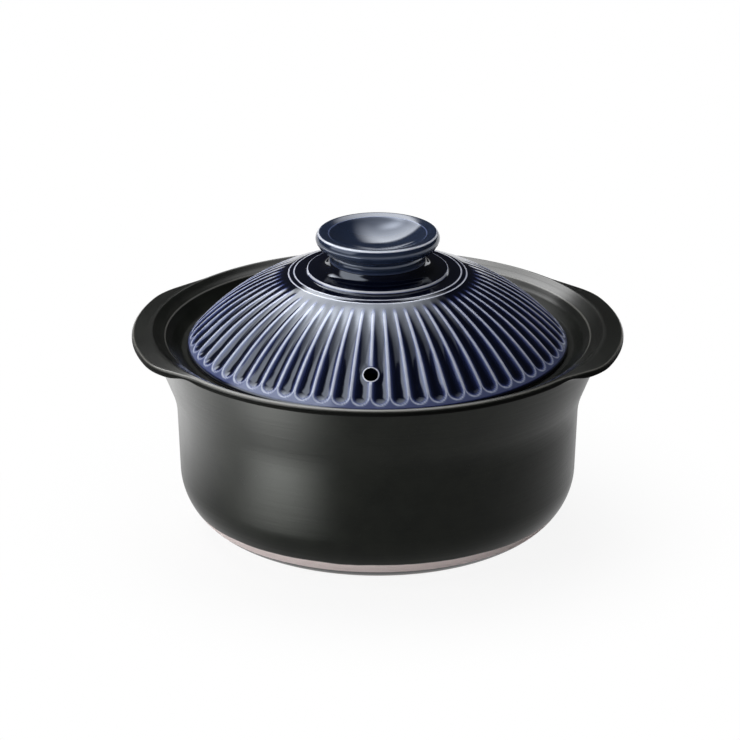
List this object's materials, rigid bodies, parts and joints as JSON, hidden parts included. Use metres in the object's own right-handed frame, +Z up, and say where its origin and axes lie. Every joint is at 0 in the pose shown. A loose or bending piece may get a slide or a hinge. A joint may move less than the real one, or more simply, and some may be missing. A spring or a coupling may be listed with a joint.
{
  "type": "clay rice pot",
  "caption": "Round thick-walled clay cooking pot with ear lobes on its flared rim, and a fluted dome lid with a steam hole and a dished knob, lifted off to fill, serve and clean.",
  "frame": {"origin": "on the table under the middle of the pot's base", "axes": "+Z up along the pot's axis, +X through the ear lobes, -Y towards the front"},
  "size_m": [0.2448, 0.2286, 0.153],
  "materials": {
    "black_glaze": "satin",
    "indigo_glaze": "gloss",
    "knob_glaze": "gloss"
  },
  "bodies": {
    "pot": {"pot_body": "black_glaze"},
    "lid": {"lid_shell": "indigo_glaze", "lid_knob": "knob_glaze"}
  },
  "joints": [
    {"name": "lid_lift", "type": "slide", "parent": "pot", "child": "lid", "axis": [0, 0, 1], "range_m": [0, 0.12]}
  ]
}
